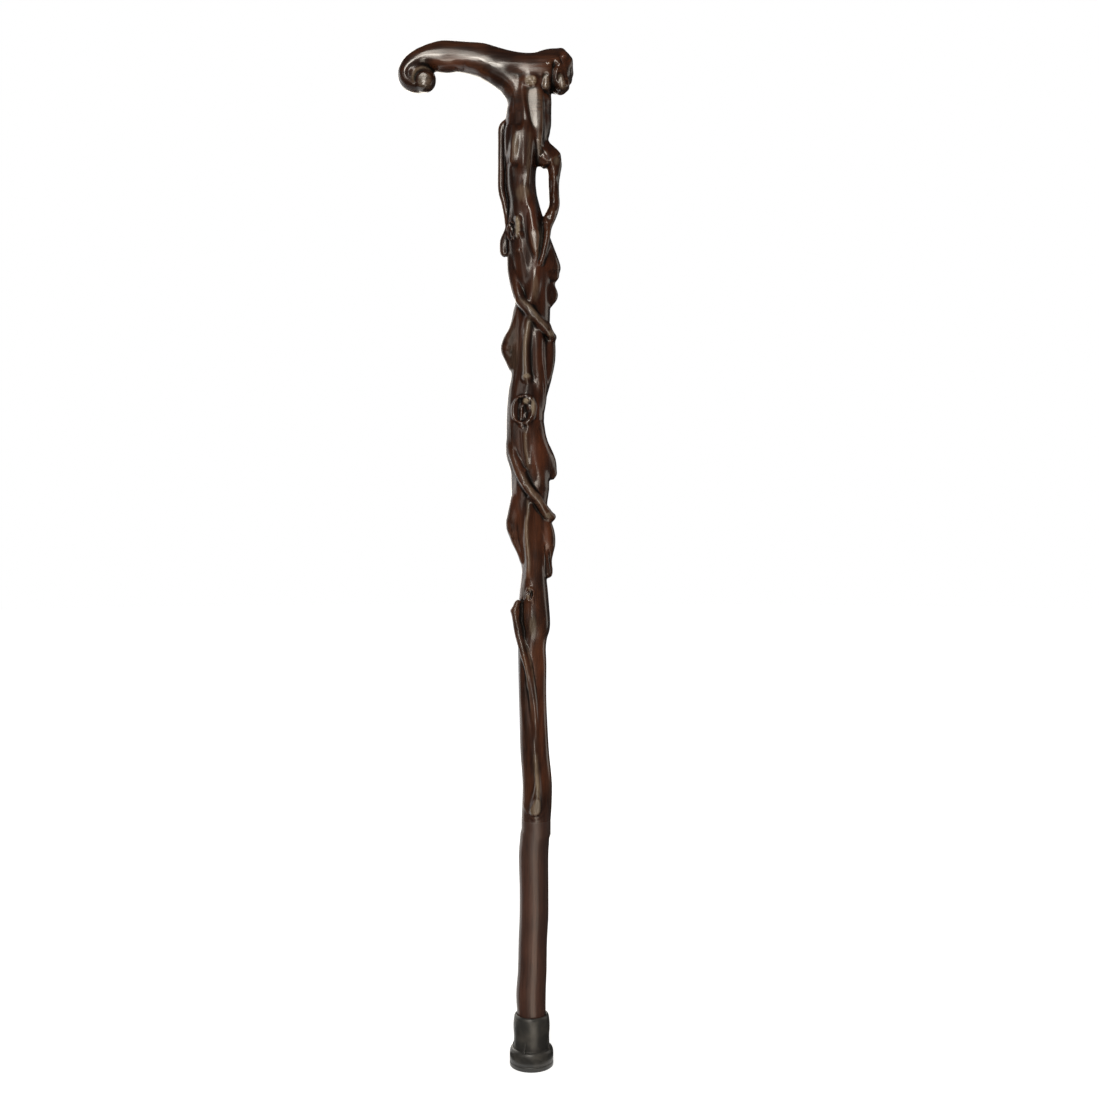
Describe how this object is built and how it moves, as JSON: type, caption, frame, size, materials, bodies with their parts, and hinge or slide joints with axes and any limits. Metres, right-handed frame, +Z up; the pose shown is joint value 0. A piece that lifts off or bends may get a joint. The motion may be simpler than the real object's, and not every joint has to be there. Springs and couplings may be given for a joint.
{
  "type": "walking cane",
  "caption": "Wooden walking cane with a scrolled crook handle, a root-carved shaft with an open branch, and a rubber ferrule that pulls off.",
  "frame": {"origin": "centre of the ferrule's underside, where the cane meets the ground", "axes": "+Z up along the shaft, -X along the grip from the neck to the scroll, -Y towards the front that the picture shows"},
  "size_m": [0.1548, 0.0448, 0.8996],
  "materials": {
    "lacquered_wood": "dark red-brown stain under a glossy clear lacquer",
    "black_rubber": "matt moulded rubber",
    "zinc_steel": "zinc-plated steel"
  },
  "bodies": {
    "ferrule": {"ferrule": "black_rubber", "ferrule_washer": "zinc_steel"},
    "cane": {"handle": "lacquered_wood", "handle_stud": "zinc_steel", "upper_shaft": "lacquered_wood", "shaft_stud": "zinc_steel", "lower_shaft": "lacquered_wood"}
  },
  "joints": [
    {"name": "ferrule_pull", "type": "slide", "parent": "ferrule", "child": "cane", "axis": [0, 0, 1], "range_m": [0, 0.05]}
  ]
}
